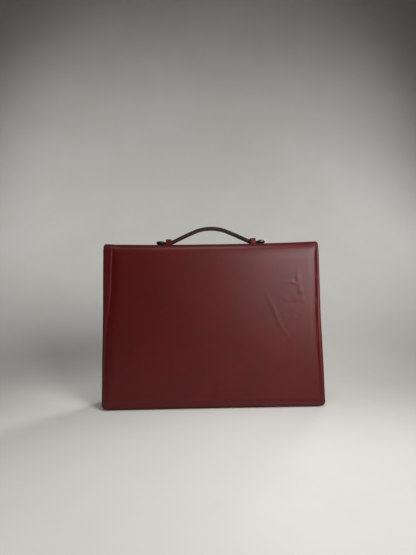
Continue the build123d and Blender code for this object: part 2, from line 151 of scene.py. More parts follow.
@dataclass(frozen=True)
class Finish:
    """A surface with a mottled colour, a fine grain and a broad unevenness.

    The pattern sizes are the real spacings in millimetres: a noise of scale
    1000 / size, on coordinates in metres, has features of that size.  Where a
    mesh has an "edge" attribute, the edge colour and roughness take over.
    """

    name: str
    dark: str
    light: str
    mottle: float = 60.0
    grain: float = 1.2
    grain_depth: float = 0.03
    wave: float = 22.0
    wave_depth: float = 0.0
    roughness: tuple[float, float] = (0.36, 0.46)
    metallic: float = 0.0
    specular: float = 0.5
    coat: float = 0.0
    coat_roughness: float = 0.3
    sheen: float = 0.0
    stretch: tuple[float, float, float] = (1.0, 1.0, 1.0)
    coordinates: Coordinates = Coordinates.OBJECT
    edge: str | None = None
    edge_roughness: float = 0.3

    def material(self) -> bpy.types.Material:
        """Return this finish's material, making it the first time."""
        known = bpy.data.materials.get(self.name)
        return known if known else self._build()

    def _build(self) -> bpy.types.Material:
        """Lay out the nodes: mottle and grain colour it, grain and wave lift it."""
        material = bpy.data.materials.new(self.name)
        material.use_nodes = True
        tree = material.node_tree
        tree.nodes.clear()
        place = add_node(tree, "ShaderNodeTexCoord").outputs[self.coordinates.value]
        spot = add_node(tree, "ShaderNodeMapping", {
            "Vector": place, "Scale": self.stretch,
        }).outputs["Vector"]
        mottle = add_node(tree, "ShaderNodeTexNoise", {
            "Vector": spot, "Scale": 1000 / self.mottle, "Detail": 5.0, "Roughness": 0.6,
        }).outputs["Fac"]
        grain = add_node(tree, "ShaderNodeTexNoise", {
            "Vector": spot, "Scale": 1000 / self.grain, "Detail": 2.0, "Roughness": 0.55,
        }).outputs["Fac"]
        share = add_node(tree, "ShaderNodeMapRange", {
            "Value": mottle, "From Min": 0.34, "From Max": 0.66,
        }).outputs["Result"]
        speckle = add_node(tree, "ShaderNodeMath", {
            0: grain, 1: SPECKLE_SHARE,
        }, operation="MULTIPLY").outputs[0]
        tone = add_node(tree, "ShaderNodeMath", {
            0: share, 1: speckle,
        }, operation="ADD", use_clamp=True).outputs[0]
        shade = add_node(tree, "ShaderNodeMix", {
            "Factor": tone, "A": linear(self.dark), "B": linear(self.light),
        }, data_type="RGBA").outputs["Result"]
        rough = add_node(tree, "ShaderNodeMapRange", {
            "Value": mottle, "From Min": 0.3, "From Max": 0.7,
            "To Min": self.roughness[1], "To Max": self.roughness[0],
        }).outputs["Result"]
        if self.edge:
            paint = add_node(tree, "ShaderNodeAttribute", attribute_name="edge").outputs["Fac"]
            shade = add_node(tree, "ShaderNodeMix", {
                "Factor": paint, "A": shade, "B": linear(self.edge),
            }, data_type="RGBA").outputs["Result"]
            rough = add_node(tree, "ShaderNodeMix", {
                "Factor": paint, "A": rough, "B": self.edge_roughness,
            }, data_type="FLOAT").outputs["Result"]
        bump = add_node(tree, "ShaderNodeBump", {"Height": grain, "Distance": self.grain_depth * MM})
        if self.wave_depth:
            swell = add_node(tree, "ShaderNodeTexNoise", {
                "Vector": spot, "Scale": 1000 / self.wave, "Detail": 1.0,
            }).outputs["Fac"]
            bump = add_node(tree, "ShaderNodeBump", {
                "Height": swell, "Distance": self.wave_depth * MM, "Normal": bump.outputs["Normal"],
            })
        shader = add_node(tree, "ShaderNodeBsdfPrincipled", {
            "Base Color": shade, "Roughness": rough, "Normal": bump.outputs["Normal"],
            "Metallic": self.metallic, "Specular IOR Level": self.specular,
            "Coat Weight": self.coat, "Coat Roughness": self.coat_roughness,
            "Sheen Weight": self.sheen, "Sheen Roughness": 0.5,
        })
        add_node(tree, "ShaderNodeOutputMaterial", {"Surface": shader.outputs["BSDF"]})
        return material


# Box calf: chrome-tanned calf, plated and glazed.  It looks almost smooth, with
# a soft wide gloss and a faint unevenness where it is stretched over the board.
BOX_CALF = Finish(
    "box_calf_plated_and_glazed", "4B0809", "560A0B", mottle=90, grain=1.4, grain_depth=0.02,
    wave=26, wave_depth=0.10, roughness=(0.42, 0.44), specular=0.34, coordinates=Coordinates.FLAT,
    # The edge colour is painted shade: it darkens the rolled edges, where the rim turns away from the light.
    edge="3C090B", edge_roughness=0.36,
)
# The same hide where it is handled and creased, so it is duller.  The pattern
# lies on object coordinates.
BOX_CALF_INNER = Finish(
    "box_calf_plated_inner_pieces", "4A090A", "560C0D", mottle=70, grain=1.4, grain_depth=0.03,
    wave=26, wave_depth=0.08, roughness=(0.46, 0.54), specular=0.22,
)
# Bridle leather: vegetable-tanned, dyed black and waxed, so it is dull and
# smooth.  Its brown core lies bare in a thin line along the cut edge.
BRIDLE = Finish(
    "bridle_leather_waxed_with_bare_core_edge", "120C0B", "1E1512", mottle=24, grain=1.0, grain_depth=0.03,
    wave=9, wave_depth=0.06, roughness=(0.50, 0.6), specular=0.22, coordinates=Coordinates.FLAT,
    edge="4C342B", edge_roughness=0.6,
)
# Lacquered leather: black lacquer rubbed by use, with a soft gloss under what
# is left of the clear coat.
LACQUERED = Finish(
    "leather_black_lacquered", "060505", "0C0A0A", mottle=12, grain=1.0, grain_depth=0.02,
    wave=6, wave_depth=0.05, roughness=(0.36, 0.44), coat=0.15, coat_roughness=0.25,
)
# Suede split: buffed on the flesh side, so the short nap scatters the light.
SUEDE = Finish(
    "suede_split_buffed", "431618", "4F1C1E", mottle=45, grain=0.9, grain_depth=0.10,
    roughness=(0.85, 0.95), specular=0.25, sheen=0.35,
)
# Leather fibre board: pressed from shredded hide, with flecks and no gloss.
FIBRE_BOARD = Finish(
    "leather_fibre_board_pressed", "6A4E35", "A07A54", mottle=5, grain=0.7, grain_depth=0.06,
    roughness=(0.75, 0.9), specular=0.3,
)
# Felt: pressed wool, matt with a soft fuzz that catches light at the edge.
FELT = Finish(
    "wool_felt_pressed", "8E8879", "B4AD9C", mottle=4, grain=0.5, grain_depth=0.12,
    roughness=(0.9, 1.0), specular=0.2, sheen=0.3,
)
# Brass: stamped and polished, with faint drawn lines.
BRASS = Finish(
    "brass_stamped_and_polished", "B08A45", "CFAE66", mottle=3, grain=0.3, grain_depth=0.004,
    roughness=(0.18, 0.30), metallic=1.0, stretch=(1.0, 1.0, 6.0),
)
# Steel sheet: zinc plated, grey and half bright with a soft spangle.
ZINC = Finish(
    "steel_sheet_zinc_plated", "8A8C8C", "B4B7B7", mottle=6, grain=0.8, grain_depth=0.01,
    roughness=(0.32, 0.45), metallic=1.0,
)
# Brass blackened in a bath, rubbed bright in spots.
BLACK_BRASS = Finish(
    "brass_blackened", "15110D", "3A2E20", mottle=2.5, grain=0.4, grain_depth=0.01,
    roughness=(0.3, 0.42), metallic=1.0,
)
# Linen thread: twisted and waxed, a dark red with a short dull shine.
THREAD = Finish(
    "linen_thread_twisted_and_waxed", "3A0D0F", "571518", mottle=1.2, grain=0.5, grain_depth=0.05,
    roughness=(0.5, 0.65),
)
# Painted board: white emulsion put on with a roller, for a pale matt ground
# and wall that take soft shadows.
EMULSION = Finish(
    "emulsion_paint_matt_rolled", "E7E6E0", "EEEDE8", mottle=400, grain=2.5, grain_depth=0.02,
    roughness=(0.8, 0.9), specular=0.2,
)

# Which frame pieces stay visible, and what each is made of.
CAD_FINISHES = {
    FIBRE_BOARD: ("top_board", "back_board", "bottom_board", "divider_board", "flap_board",
                  "front_board"),
    FELT: ("back_padding", "flap_padding"),
    SUEDE: ("top_lining", "back_lining", "bottom_lining", "divider_front_skin",
            "divider_rear_skin", "flap_lining", "front_lining", "document_pocket"),
    BRASS: ("closure_socket", "closure_stud", "stud_washer"),
    ZINC: ("left_loop_plate", "right_loop_plate", "loop_tacks"),
    BLACK_BRASS: ("left_stopper_rivet", "right_stopper_rivet"),
}


def dress_cad_nodes() -> None:
    """Give each kept CAD node its material, in every slot that it has."""
    for finish, names in CAD_FINISHES.items():
        material = finish.material()
        for name in names:
            mesh = frame["nodes"][name].data
            mesh.materials.clear()
            mesh.materials.append(material)
        log.info("dressed %d frame pieces in %s", len(names), finish.name)


# ------------------------------------------------------------------- meshes
def ramp(value: np.ndarray, start: float, end: float) -> np.ndarray:
    """Smooth step: 0 before start, 1 after end, 3t^2 - 2t^3 between."""
    t = np.clip((value - start) / (end - start), 0, 1)
    return t * t * (3 - 2 * t)


def unit(vectors: np.ndarray) -> np.ndarray:
    """Vectors of length one, along the last axis."""
    return vectors / np.linalg.norm(vectors, axis=-1, keepdims=True)


def run_along(path: np.ndarray) -> np.ndarray:
    """Distance along a path of N by 3 places, at each place."""
    steps = np.linalg.norm(np.diff(path, axis=0), axis=1)
    return np.concatenate([[0.0], np.cumsum(steps)])


def at_distance(path: np.ndarray, run: np.ndarray, steps: np.ndarray) -> np.ndarray:
    """Places at given distances along a path whose distances are run."""
    return np.stack([np.interp(steps, run, path[:, i]) for i in range(3)], axis=1)


def squared_circle(angle: np.ndarray, squareness: float) -> tuple[np.ndarray, np.ndarray]:
    """Places on |a|^n + |b|^n = 1 for the power n: 2 is round, more is squarer.

    Args:
        angle: The turn of each place.
        squareness: The power n.

    Returns:
        The a and b of each place.
    """
    power = 2 / squareness
    a = np.sign(np.cos(angle)) * np.abs(np.cos(angle)) ** power
    b = np.sign(np.sin(angle)) * np.abs(np.sin(angle)) ** power
    return a, b


def ring_angles(count: int) -> np.ndarray:
    """Evenly spread turns that start half a step on, for a tube's ring."""
    return (np.arange(count) + 0.5) * 2 * np.pi / count


def arch(reach: float, low: float, high: float, corner: float) -> tuple[np.ndarray, np.ndarray]:
    """Up, over and down, with two round corners.

    Args:
        reach: Half the width.
        low: The height of both feet.
        high: The height of the top.
        corner: The corners' radius.

    Returns:
        The place across and the height of each point.
    """
    turn = np.linspace(0, np.pi / 2, 9)
    across = np.concatenate([[-reach], -reach + corner - corner * np.cos(turn),
                             reach - corner + corner * np.sin(turn), [reach]])
    up = np.concatenate([[low], high - corner + corner * np.sin(turn),
                         high - corner + corner * np.cos(turn), [low]])
    return across, up


def write_mesh(name: str, finish: Finish, points: np.ndarray, faces: np.ndarray,
               flat: np.ndarray | None = None, edge: np.ndarray | None = None) -> bpy.types.Object:
    """Put points and four-cornered faces into a new object at the origin.

    Args:
        name: The piece's name.
        finish: What it is made of.
        points: N by 3 places in millimetres.
        faces: M by 4 point numbers, anticlockwise from outside.  A number that
            comes twice in a row makes the face a triangle.
        flat: N by 2 places on the flattened piece, in millimetres.
        edge: N values from 0 to 1 for how near the piece's edge a point is.

    Returns:
        The linked object.
    """
    mesh = bpy.data.meshes.new(name)
    mesh.vertices.add(len(points))
    mesh.vertices.foreach_set("co", (points * MM).astype(np.float32).ravel())
    differs = faces != np.roll(faces, -1, axis=1)
    corners = faces[differs]
    starts = np.concatenate([[0], np.cumsum(differs.sum(axis=1))[:-1]])
    mesh.loops.add(len(corners))
    mesh.loops.foreach_set("vertex_index", corners.astype(np.int32))
    mesh.polygons.add(len(faces))
    mesh.polygons.foreach_set("loop_start", starts.astype(np.int32))
    mesh.update(calc_edges=True)
    mesh.validate()
    mesh.shade_smooth()
    mesh.set_sharp_from_angle(angle=np.radians(50))
    if flat is not None:
        layer = mesh.uv_layers.new(name="flat")
        layer.uv.foreach_set("vector", (flat[corners] * MM).astype(np.float32).ravel())
    if edge is not None:
        paint = mesh.attributes.new("edge", "FLOAT", "POINT")
        paint.data.foreach_set("value", edge.astype(np.float32))
    mesh.materials.append(finish.material())
    piece = bpy.data.objects.new(name, mesh)
    bpy.context.scene.collection.objects.link(piece)
    log.info("%s: %d faces of %s", name, len(mesh.polygons), finish.name)
    return piece


def grid_faces(index: np.ndarray, closed: bool) -> np.ndarray:
    """Faces between the neighbours of a grid of point numbers.

    Args:
        index: Rows by columns of point numbers.
        closed: Whether the last column joins the first.

    Returns:
        M by 4 point numbers.
    """
    after = np.roll(index, -1, axis=1)
    if not closed:
        index, after = index[:, :-1], after[:, :-1]
    return np.stack([index[:-1], after[:-1], after[1:], index[1:]], axis=-1).reshape(-1, 4)


def tube_faces(rows: int, ring: int, turn: bool = False) -> np.ndarray:
    """Faces of a tube of rings, with each end closed by a strip of faces.

    The ring is split into two halves that face each other, so an end is
    closed by joining point i to point ring - 1 - i.

    Args:
        rows: The number of rings.
        ring: The number of points in a ring, which is even.
        turn: Whether to turn every face round.

    Returns:
        M by 4 point numbers.
    """
    index = np.arange(rows * ring).reshape(rows, ring)
    half = ring // 2
    first = np.stack([index[0, :half], index[0, ::-1][:half]], axis=1)
    last = np.stack([index[-1, :half], index[-1, ::-1][:half]], axis=1)
    faces = np.concatenate([
        grid_faces(index, True),
        grid_faces(first, False),
        grid_faces(last, False)[:, ::-1],
    ])
    return faces[:, ::-1] if turn else faces


@dataclass
class SideLine:
    """A line in the side view, from dense places and outward angles."""

    y: np.ndarray
    z: np.ndarray
    angle: np.ndarray

    def __post_init__(self) -> None:
        """Measure the distance along the line at each place."""
        steps = np.hypot(np.diff(self.y), np.diff(self.z))
        self.along = np.concatenate([[0.0], np.cumsum(steps)])
        self.length = float(self.along[-1])

    def lift(self, along: np.ndarray, out: np.ndarray) -> tuple[np.ndarray, np.ndarray]:
        """Places on the line, moved outwards.

        Args:
            along: Distances along the line.
            out: Distances outwards from it.

        Returns:
            The y and z of each place.
        """
        angle = np.interp(along, self.along, self.angle)
        y = np.interp(along, self.along, self.y) + out * np.cos(angle)
        return y, np.interp(along, self.along, self.z) + out * np.sin(angle)


def spaced(marks: list[tuple[float, float]]) -> np.ndarray:
    """Distances with a spacing of their own in each stretch.

    Args:
        marks: (place, spacing used from here to the next mark) pairs.

    Returns:
        Rising distances from the first mark to the last.
    """
    parts = [
        np.linspace(a, b, max(2, int(round((b - a) / step)) + 1))[:-1]
        for (a, step), (b, _) in zip(marks, marks[1:])
    ]
    return np.concatenate([*parts, [marks[-1][0]]])


def rolled(radius: float, count: int = 7) -> np.ndarray:
    """Distances in from an edge that space a rolled edge evenly by angle."""
    return radius * (1 - np.cos(np.linspace(0, np.pi / 2, count)))


@dataclass
class BentSheet:
    """A stiff sheet bent along a side line, with rolled edges.

    A point of the sheet is (x, s): across the width, and along the line.  Its
    distance to the flat outline, a rectangle with round corners, gives the
    rolled edge: over the roll radius r the outer face drops by
    r - sqrt(r^2 - (r - d)^2) and the inner face rises by the same.

    Inside the rim, where there is one, only a skin is left of the thickness.
    A sheet that starts at a cut has a square end there, which meets another.
    """

    line: SideLine
    half_width: float
    thickness: float
    corner: float = 8.0
    rim: float | None = None
    skin: float = LEATHER
    cut_start: bool = False

    def outline(self, x: np.ndarray, s: np.ndarray) -> np.ndarray:
        """Distance inside the flat outline: that of a box with round corners."""
        start = -FAR if self.cut_start else 0.0
        end = self.line.length
        side = np.abs(x) - (self.half_width - self.corner)
        ends = np.abs(s - (start + end) / 2) - ((end - start) / 2 - self.corner)
        outside = np.hypot(np.maximum(side, 0), np.maximum(ends, 0))
        return self.corner - outside - np.minimum(np.maximum(side, ends), 0)

    def relief(self, x: np.ndarray, s: np.ndarray) -> np.ndarray:
        """Height of the outer face over the line.  A plain sheet has none."""
        return np.zeros_like(x)

    def settle(self, x: np.ndarray, y: np.ndarray, z: np.ndarray) -> tuple[np.ndarray, ...]:
        """Move points to where use has left them.  A plain sheet stays."""
        return x, y, z

    def build(self, name: str, columns: np.ndarray, rows: np.ndarray) -> bpy.types.Object:
        """Make the closed sheet.

        Args:
            name: The piece's name.
            columns: Distances in from the side, up to half the width.
            rows: Distances along the line.

        Returns:
            The new object.
        """
        across = self.half_width - columns
        across = np.concatenate([-across, across[::-1][1:]])
        near = np.clip(self.line.length - rows, 0, self.corner)
        if not self.cut_start:
            near = np.minimum(near, np.clip(rows, 0, self.corner))
        pull = self.corner - np.sqrt(np.maximum(self.corner ** 2 - (self.corner - near) ** 2, 0))
        s, x = np.meshgrid(rows, across, indexing="ij")
        x = x * (self.half_width - pull[:, None]) / self.half_width
        inside = np.maximum(self.outline(x, s), 0)
        radius = self.thickness / 2
        drop = radius - np.sqrt(np.maximum(radius ** 2 - np.maximum(radius - inside, 0) ** 2, 0))
        outer = self.relief(x, s) * ramp(inside, 0, radius) - drop
        inner = drop - self.thickness
        if self.rim is not None:
            inner = np.where(inside > self.rim - 0.1, -self.skin, inner)
        if not self.cut_start:
            inner[0] = outer[0] = -radius
        inner[-1] = outer[-1] = -radius
        inner[:, 0] = outer[:, 0]
        inner[:, -1] = outer[:, -1]
        faces_out = np.stack(self.settle(x, *self.line.lift(s, outer)), axis=-1)
        faces_in = np.stack(self.settle(x, *self.line.lift(s, inner)), axis=-1)
        return self._close(name, faces_out, faces_in, np.stack([x, s], axis=-1), inside)

    def _close(self, name: str, outer: np.ndarray, inner: np.ndarray, flat: np.ndarray,
               inside: np.ndarray) -> bpy.types.Object:
        """Join the two faces at their shared border and cap a cut start.

        Args:
            name: The piece's name.
            outer: Rows by columns by 3 places of the outer face.
            inner: The same of the inner face.
            flat: Rows by columns by 2 places on the flattened sheet.
            inside: Distance inside the outline, which fades the painted edge shade.

        Returns:
            The new object.
        """
        rows, columns = outer.shape[:2]
        first = np.arange(rows * columns).reshape(rows, columns)
        second = first + rows * columns
        second[:, 0], second[:, -1] = first[:, 0], first[:, -1]
        second[-1] = first[-1]
        caps = []
        if self.cut_start:
            caps.append(grid_faces(np.stack([second[0], first[0]]), False))
        else:
            second[0] = first[0]
        faces = np.concatenate([grid_faces(first, False), grid_faces(second, False)[:, ::-1], *caps])
        used, faces = np.unique(faces, return_inverse=True)
        faces = faces.reshape(-1, 4)
        pool = np.concatenate([outer.reshape(-1, 3), inner.reshape(-1, 3)])[used]
        plan = np.concatenate([flat.reshape(-1, 2)] * 2)[used]
        # Painted shade: the last 3.5 mm inside the outline take the darker edge colour.
        painted_edge_shade = np.concatenate([1 - ramp(inside, 0.5, 3.5)] * 2, axis=None)[used]
        return write_mesh(name, BOX_CALF, pool, faces, plan, painted_edge_shade)


def slope_line(sign: int, foot_z: float, depth: float = 0.0) -> tuple[np.ndarray, np.ndarray]:
    """The two ends of a leaning wall's line, foot first.

    Args:
        sign: +1 for the back, -1 for the front.
        foot_z: The height of its lower end.
        depth: How far inside the outer face the line lies.

    Returns:
        The y and z of the two ends.
    """
    centre_y = HALF_SPINE - FOLD_RADIUS / np.cos(LEAN)
    top_y = centre_y + (FOLD_RADIUS - depth) * np.cos(LEAN)
    top_z = HINGE_Z + (FOLD_RADIUS - depth) * np.sin(LEAN)
    foot_y = top_y + (top_z - foot_z) * np.tan(LEAN)
    return sign * np.array([foot_y, top_y]), np.array([foot_z, top_z])


def on_wall(sign: int, depth: float, x: np.ndarray, z: np.ndarray) -> np.ndarray:
    """Places on a plane behind a leaning wall's outer face.

    Args:
        sign: +1 for the back, -1 for the front.
        depth: How far inside the outer face the plane lies.
        x: Across the width.
        z: Height.

    Returns:
        N by 3 places.
    """
    wall_y, wall_z = slope_line(sign, 0.0, depth)
    return np.stack([x, np.interp(z, wall_z, wall_y), z], axis=1)


def half_case_line(sign: int, foot_z: float) -> SideLine:
    """Side line from the middle of the spine over a fold to a foot.

    The spine is flat, then a quarter turn of the fold radius ends where the
    leaning wall touches it, so the line has no kink.

    Args:
        sign: +1 for the back half, -1 for the flap half.
        foot_z: The height of the free edge.

    Returns:
        The line, from the spine outwards and down.
    """
    centre_y = HALF_SPINE - FOLD_RADIUS / np.cos(LEAN)
    turn = np.linspace(np.pi / 2, LEAN, 60)
    wall_y, wall_z = slope_line(1, foot_z)
    y = np.concatenate([[0.0], centre_y + FOLD_RADIUS * np.cos(turn), [wall_y[0]]])
    z = np.concatenate([[SPINE_TOP], HINGE_Z + FOLD_RADIUS * np.sin(turn), [wall_z[0]]])
    angle = np.concatenate([[np.pi / 2], turn, [LEAN]])
    return SideLine(sign * y, z, angle if sign > 0 else np.pi - angle)


FOLD_END = HALF_SPINE - FOLD_RADIUS / np.cos(LEAN) + FOLD_RADIUS * (np.pi / 2 - LEAN)


def soft_least(*values: np.ndarray, blend: float = 5.0) -> np.ndarray:
    """The least of several distances, rounded where two are alike.

    It is -b log(sum of exp(-v / b)), which rounds a corner by about b.
    """
    return -blend * np.log(sum(np.exp(-np.clip(value, -60, 400) / blend) for value in values))


@dataclass(frozen=True)
class Crease:
    """A raised fold in the leather along a bent line of (x, z) places."""

    height: float
    width: float
    points: tuple[tuple[float, float], ...]

    def strength(self, x: np.ndarray, z: np.ndarray) -> np.ndarray:
        """Share of the height at a place: exp(-(distance / width)^2).

        Args:
            x: Across the width.
            z: Height.

        Returns:
            From 0 to 1, fading out at both ends of the line.
        """
        best = np.full(x.shape, np.inf)
        fade = np.zeros(x.shape)
        lengths = len(self.points) - 1
        for number, ((x0, z0), (x1, z1)) in enumerate(zip(self.points, self.points[1:])):
            dx, dz = x1 - x0, z1 - z0
            t = np.clip(((x - x0) * dx + (z - z0) * dz) / (dx * dx + dz * dz), 0, 1)
            gap = np.hypot(x - x0 - t * dx, z - z0 - t * dz)
            fade = np.where(gap < best, (number + t) / lengths, fade)
            best = np.minimum(best, gap)
        return np.exp(-(best / self.width) ** 2) * np.sin(np.pi * np.clip(fade, 0.04, 0.96)) ** 0.5


@dataclass(frozen=True)
class Ring:
    """A round ridge that something in the case has pressed into the flap."""

    x: float
    z: float
    radius: float
    width: float
    height: float


# Marks of use on the flap's face, as seen from its front.
CREASES = (
    Crease(0.54, 1.5, ((98, 209), (112, 177), (120, 151), (141, 118))),
    Crease(0.8, 1.2, ((157, 250), (161, 218), (167, 188))),
    Crease(0.42, 1.3, ((133, 222), (147, 226), (160, 219))),
)
RING = Ring(145, 206, 17, 1.5, 0.16)
# Small dents: x, z and depth.
DENTS = (
    (149, 187, 0.25), (159, 173, 0.2), (138, 167, 0.2), (155, 164, 0.2),
    (-56, 151, 0.12), (-14, 139, 0.12), (-3, 263, 0.1), (43, 192, 0.12),
)
# The raised field's side borders: height, and distance from the middle.
LEFT_BORDER = (
    (0, 194.6), (55, 194.7), (128, 193.6), (160, 190.5), (190, 186.3), (214, 184.4), (286, 182.4),
)
RIGHT_BORDER = ((0, 192.8), (47, 192.5), (136, 191.2), (245, 193.6), (286, 194.2))


@dataclass
class OuterSheet(BentSheet):
    """The outer leather of the flap or the back, with half of the spine.

    Its face has a raised field.  The distance in from the field's border
    gives the height: a quarter of an ellipse over the padding, a groove on
    the border, and a low bead between the groove and the edge.  Use has
    softened all three on the left, and pressed them flatter near the foot.
    """

    inset: float = 9.0           # edge to the field's border
    field_rise: float = 2.2
    shoulder: float = 15.0       # border to the field's full height
    foot_steepness: float = 2.2  # how much shorter the shoulder is at the foot
    foot_share: float = 0.6      # the field's height that is left at the foot
    groove: float = 0.9
    bead: float = 0.35
    hem_step: float = 0.8        # how far the hem lies under the face
    swell: float = 0.16          # slow unevenness of the padding

    def borders(self, x: np.ndarray, z: np.ndarray) -> tuple[np.ndarray, np.ndarray]:
        """Distance in from the field's left and right borders."""
        reach = self.half_width - self.inset
        return x + reach, reach - x

    def relief(self, x: np.ndarray, s: np.ndarray) -> np.ndarray:
        """Height of the shoulder, groove and bead over the plain face."""
        down = s - FOLD_END
        z = HINGE_Z - down * np.cos(LEAN)
        left, right = self.borders(x, z)
        foot = self.line.length - s - self.inset
        within = soft_least(left, right, self.foot_steepness * foot)
        worn = ramp(-x, 60, 180)

        bent = 1 - np.clip(within / self.shoulder, 0, 1)
        rise = self.field_rise + self.crown(down)
        rise = rise * np.maximum(1 - bent * bent, 0) ** (0.7 + 0.7 * worn)
        rise = rise * (self.foot_share + (1 - self.foot_share) * ramp(foot, 0, 75))

        crease = -self.groove * np.exp(-within ** 2) * ramp(down, -FOLD_RADIUS, 4)
        crease = crease * (1 - worn * (1 - 0.45 * ramp(z, 150, 215))) * (0.2 + 0.8 * ramp(foot, 4, 24))

        bead = self.bead * ramp(-within, 0.6, 3.4) * ramp(foot, -1, 20)
        hem = -self.hem_step * ramp(-foot, -1.2, 1.2)
        swell = self.swell * np.sin(x / 31 + z / 47) * np.sin(z / 39 - x / 83 + 1.3)
        return rise + crease + bead + hem + swell * ramp(within, 4, 40) * ramp(down, 0, 30)

    def crown(self, down: np.ndarray) -> np.ndarray:
        """Fall of the field as it rounds over into the fold.

        Below the fold it is a parabola, -r t^2 over the last stretch.  Its
        slope then fades evenly in the fold's first half, and in the second
        half the leather comes back to the spine's own height.

        Args:
            down: Distance below the fold's lower end, negative in the fold.

        Returns:
            The fall, which is 0 in the field and -r on the spine.
        """
        stretch, half = 20.0, 10.5
        below = np.clip((stretch - down) / stretch, 0, 1)
        slope = 2 * self.field_rise / stretch
        above = np.clip(-down, 0, half)
        extra = slope * (above - above ** 2 / (2 * half)) * (1 - ramp(-down, half, 2 * half))
        return -self.field_rise * below ** 2 - extra

    def settle(self, x: np.ndarray, y: np.ndarray, z: np.ndarray) -> tuple[np.ndarray, ...]:
        """Sag the spine between its ends and draw the sides in at the waist.

        The flap's free edge hangs lower in the middle; the back stands on its
        own, so that one stays straight.
        """
        share = np.abs(x) / self.half_width
        sag = (-1.0 + 2.8 * share ** 2.6) * ramp(z, 215, SPINE_TOP - 8)
        foot = (0.8 - 1.9 * share ** 2) * (1 - ramp(z, 5, 60)) * (self.line.y[-1] < 0)
        waist = np.exp(-((z - 165) / 62) ** 2) * np.where(x > 0, 1.1, 0.6)
        return x - np.sign(x) * waist * share ** 3, y, z + sag + foot


@dataclass
class FlapSheet(OuterSheet):
    """The flap's leather, with the marks of use on its face."""

    dent_radius: float = 3.0
    print_depth: float = 1.0

    def borders(self, x: np.ndarray, z: np.ndarray) -> tuple[np.ndarray, np.ndarray]:
        """Distance in from the field's side borders, which wander a little.

        The left one stands further in over its upper half.
        """
        left = -np.interp(z, *zip(*LEFT_BORDER))
        right = np.interp(z, *zip(*RIGHT_BORDER))
        return x - left, right - x

    def relief(self, x: np.ndarray, s: np.ndarray) -> np.ndarray:
        """The plain relief, with creases, dents and the closure's print.

        The print is a shallow hollow that deepens slowly from the left, ends
        on the centre line and fades upwards and downwards.
        """
        z = HINGE_Z - (s - FOLD_END) * np.cos(LEAN)
        marks = sum(crease.height * crease.strength(x, z) for crease in CREASES)
        gap = np.hypot(x - RING.x, z - RING.z) - RING.radius
        marks += RING.height * np.exp(-(gap / RING.width) ** 2)
        for place_x, place_z, depth in DENTS:
            away = (x - place_x) ** 2 + (z - place_z) ** 2
            marks -= depth * np.exp(-away / self.dent_radius ** 2)
        hollow = ramp(x, -46, -2) * (1 - ramp(x, -1, 5)) * np.exp(-((z - 31) / 15) ** 2)
        return super().relief(x, s) + marks - self.print_depth * hollow


@dataclass
class OuterLeather:
    """The two outer sheets, which meet across the middle of the spine.

    The grid is fine at the rolled edge, the rim's step, the border of the
    field and the fold, and coarse on the open face.
    """

    corner: float = 8.0
    roll: float = PANEL / 2
    border: float = 26.0      # edge to where the field is at full height
    face_step: tuple[float, float] = (2.5, 4.0)   # on the flap, on the back

    def build(self) -> None:
        """Make the flap's sheet and the back's sheet."""
        edge = rolled(self.roll)
        side = np.concatenate([edge[:-1], spaced([
            (self.roll, 0.8), (RIM - 0.2, 0.2), (RIM, 1.0), (self.border, 3.6), (HALF_WIDTH, 0),
        ])])
        for sign, name, kind in ((-1, "flap_leather", FlapSheet), (1, "back_leather", OuterSheet)):
            line = half_case_line(sign, FLAP_EDGE_Z if sign < 0 else BACK_FOOT_Z)
            sheet = kind(line, HALF_WIDTH, PANEL, self.corner, RIM, LEATHER, cut_start=True)
            step = self.face_step[0] if sign < 0 else self.face_step[1]
            end = line.length
            rows = np.concatenate([
                spaced([(0, 2.4), (HALF_SPINE - FOLD_RADIUS, 1.1), (FOLD_END + 16, step),
                        (end - self.border, 1.0), (end - RIM, 0.2), (end - RIM + 0.2, 0.8),
                        (end - self.roll, 0)])[:-1],
                (end - edge)[::-1],
            ])
            piece = sheet.build(name, side, rows)
            if sign < 0:
                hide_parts("flap_cover", "flap_rim", "top_cover")
                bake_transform(piece)
            else:
                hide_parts("back_cover", "back_rim", "left_spine_rim", "right_spine_rim")
                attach(piece, "case")


